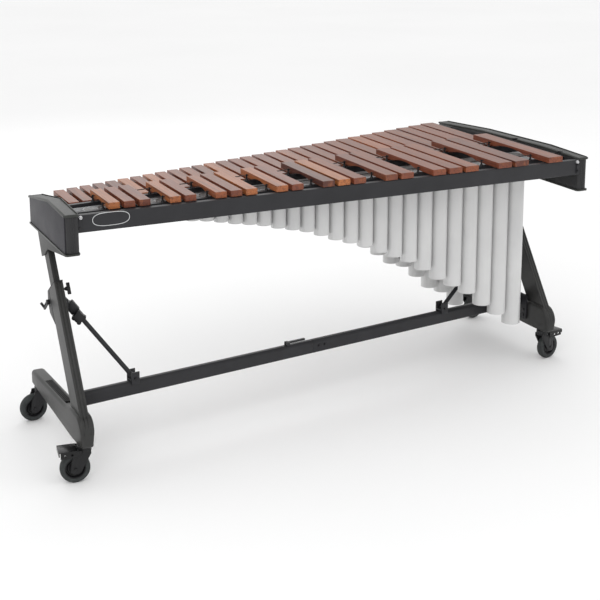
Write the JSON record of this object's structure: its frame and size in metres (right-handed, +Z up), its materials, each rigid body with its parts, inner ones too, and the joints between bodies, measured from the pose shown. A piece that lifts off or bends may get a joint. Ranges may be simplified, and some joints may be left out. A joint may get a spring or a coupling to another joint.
{
  "type": "concert marimba",
  "caption": "Concert marimba: two rows of graduated wooden tone bars over tubular resonators, on a wheeled frame with leaning telescopic masts.",
  "frame": {"origin": "on the floor, under the middle of the overall box", "axes": "+X to the bass end, +Y to the player (the deep natural-bar side), +Z up"},
  "size_m": [2.171, 1.0572, 0.906],
  "materials": {
    "frame_black": "satin powder coat",
    "padouk": "satin lacquered padouk",
    "steel": "bright plated",
    "caster_black": "satin",
    "black_plastic": "moulded",
    "end_block": "satin painted",
    "end_cap": "satin",
    "end_panel": "fine-grained",
    "mast_grey": "satin powder coat",
    "tread": "ribbed",
    "tube": "pearl lacquered",
    "silver": "satin anodised",
    "cord": "braided nylon",
    "tyre": "matt"
  },
  "bodies": {
    "root": {"crossbar_high": "frame_black", "crossbar_low": "frame_black", "crossbar_spigot": "frame_black", "foot_high": "mast_grey", "foot_low": "mast_grey", "foot_treads": "tread", "mast_collars": "black_plastic", "mast_high": "mast_grey", "mast_low": "mast_grey", "stand_bolts": "steel", "stand_brackets": "frame_black", "strut_sleeves": "frame_black", "strut_tubes": "frame_black"},
    "caster_high_front": {"caster_fork_high_front": "caster_black"},
    "wheel_high_front_body": {"wheel_high_front": "black_plastic", "tyre_high_front": "tyre"},
    "brake_high_front": {"brake_pedal_high_front": "caster_black"},
    "caster_high_rear": {"caster_fork_high_rear": "caster_black"},
    "wheel_high_rear_body": {"wheel_high_rear": "black_plastic", "tyre_high_rear": "tyre"},
    "caster_low_front": {"caster_fork_low_front": "caster_black"},
    "wheel_low_front_body": {"wheel_low_front": "black_plastic", "tyre_low_front": "tyre"},
    "brake_low_front": {"brake_pedal_low_front": "caster_black"},
    "caster_low_rear": {"caster_fork_low_rear": "caster_black"},
    "wheel_low_rear_body": {"wheel_low_rear": "black_plastic", "tyre_low_rear": "tyre"},
    "lock_knob_high": {"lock_knob_high": "black_plastic"},
    "lift_lever_high": {"lift_lever_high": "black_plastic"},
    "strut_knob_high": {"strut_knob_high": "black_plastic"},
    "lock_knob_low": {"lock_knob_low": "black_plastic"},
    "lift_lever_low": {"lift_lever_low": "black_plastic"},
    "strut_knob_low": {"strut_knob_low": "black_plastic"},
    "crossbar_lever": {"crossbar_lever": "black_plastic"},
    "keyboard_frame": {"audience_beam": "frame_black", "bars_accidental_octave_3": "padouk", "bars_accidental_octave_4": "padouk", "bars_accidental_octave_5": "padouk", "bars_accidental_octave_6": "padouk", "bars_natural_octave_3": "padouk", "bars_natural_octave_4": "padouk", "bars_natural_octave_5": "padouk", "bars_natural_octave_6": "padouk", "beam_bracket_bolts": "steel", "beam_plates": "frame_black", "cord_posts": "black_plastic", "cord_springs_and_hooks": "steel", "end_block_high": "end_block", "end_block_low": "end_block", "end_caps": "end_cap", "end_panels": "end_panel", "mast_brackets": "mast_grey", "mast_sliders": "mast_grey", "player_beam": "frame_black", "post_rails": "frame_black", "resonator_stops": "tube", "resonator_strips": "silver", "resonators_accidental": "tube", "resonators_natural": "tube", "suspension_cords": "cord"}
  },
  "joints": [
    {"name": "frame_height", "type": "slide", "parent": "root", "child": "keyboard_frame", "axis": [0, 0.5548, 0.832], "range_m": [-0.1, 0.06]},
    {"name": "swivel_high_front", "type": "hinge", "parent": "root", "child": "caster_high_front", "pos_m": [-0.99655, -0.47042, 0.128], "axis": [0, 0, 1], "continuous": true},
    {"name": "roll_high_front", "type": "hinge", "parent": "caster_high_front", "child": "wheel_high_front_body", "pos_m": [-1.02824, -0.46597, 0.05], "axis": [-0.1392, -0.9903, 0], "continuous": true},
    {"name": "brake_high_front", "type": "hinge", "parent": "caster_high_front", "child": "brake_high_front", "pos_m": [-1.01833, -0.46736, 0.112], "axis": [-0.1392, -0.9903, 0], "range_deg": [0, 10]},
    {"name": "swivel_high_rear", "type": "hinge", "parent": "root", "child": "caster_high_rear", "pos_m": [-0.99655, 0.07958, 0.128], "axis": [0, 0, 1], "continuous": true},
    {"name": "roll_high_rear", "type": "hinge", "parent": "caster_high_rear", "child": "wheel_high_rear_body", "pos_m": [-1.02837, 0.07623, 0.05], "axis": [0.1045, -0.9945, 0], "continuous": true},
    {"name": "swivel_low_front", "type": "hinge", "parent": "root", "child": "caster_low_front", "pos_m": [0.99545, -0.24842, 0.128], "axis": [0, 0, 1], "continuous": true},
    {"name": "roll_low_front", "type": "hinge", "parent": "caster_low_front", "child": "wheel_low_front_body", "pos_m": [1.02675, -0.24177, 0.05], "axis": [-0.2079, 0.9781, 0], "continuous": true},
    {"name": "brake_low_front", "type": "hinge", "parent": "caster_low_front", "child": "brake_low_front", "pos_m": [1.01697, -0.24385, 0.112], "axis": [-0.2079, 0.9781, 0], "range_deg": [0, 10]},
    {"name": "swivel_low_rear", "type": "hinge", "parent": "root", "child": "caster_low_rear", "pos_m": [0.99545, 0.30158, 0.128], "axis": [0, 0, 1], "continuous": true},
    {"name": "roll_low_rear", "type": "hinge", "parent": "caster_low_rear", "child": "wheel_low_rear_body", "pos_m": [1.02714, 0.30603, 0.05], "axis": [-0.1392, 0.9903, 0], "continuous": true},
    {"name": "lock_knob_high", "type": "hinge", "parent": "root", "child": "lock_knob_high", "pos_m": [-0.98155, -0.20695, 0.57317], "axis": [1, 0, 0], "range_deg": [-360, 720]},
    {"name": "lift_lever_high", "type": "hinge", "parent": "root", "child": "lift_lever_high", "pos_m": [-1.01155, -0.15704, 0.51824], "axis": [-1, 0, 0], "range_deg": [-70, 0]},
    {"name": "strut_knob_high", "type": "hinge", "parent": "root", "child": "strut_knob_high", "pos_m": [-0.9335, -0.24806, 0.48678], "axis": [-0.3322, -0.9432, 0], "range_deg": [-360, 720]},
    {"name": "lock_knob_low", "type": "hinge", "parent": "root", "child": "lock_knob_low", "pos_m": [0.98045, 0.01505, 0.57317], "axis": [-1, 0, 0], "range_deg": [-360, 720]},
    {"name": "lift_lever_low", "type": "hinge", "parent": "root", "child": "lift_lever_low", "pos_m": [1.01045, 0.06496, 0.51824], "axis": [1, 0, 0], "range_deg": [0, 70]},
    {"name": "strut_knob_low", "type": "hinge", "parent": "root", "child": "strut_knob_low", "pos_m": [0.91966, -0.03078, 0.50138], "axis": [0.3363, -0.9418, 0], "range_deg": [-360, 720]},
    {"name": "crossbar_lever", "type": "hinge", "parent": "root", "child": "crossbar_lever", "pos_m": [-0.15355, -0.23715, 0.2535], "axis": [0.1108, -0.9938, 0], "range_deg": [0, 100]}
  ]
}
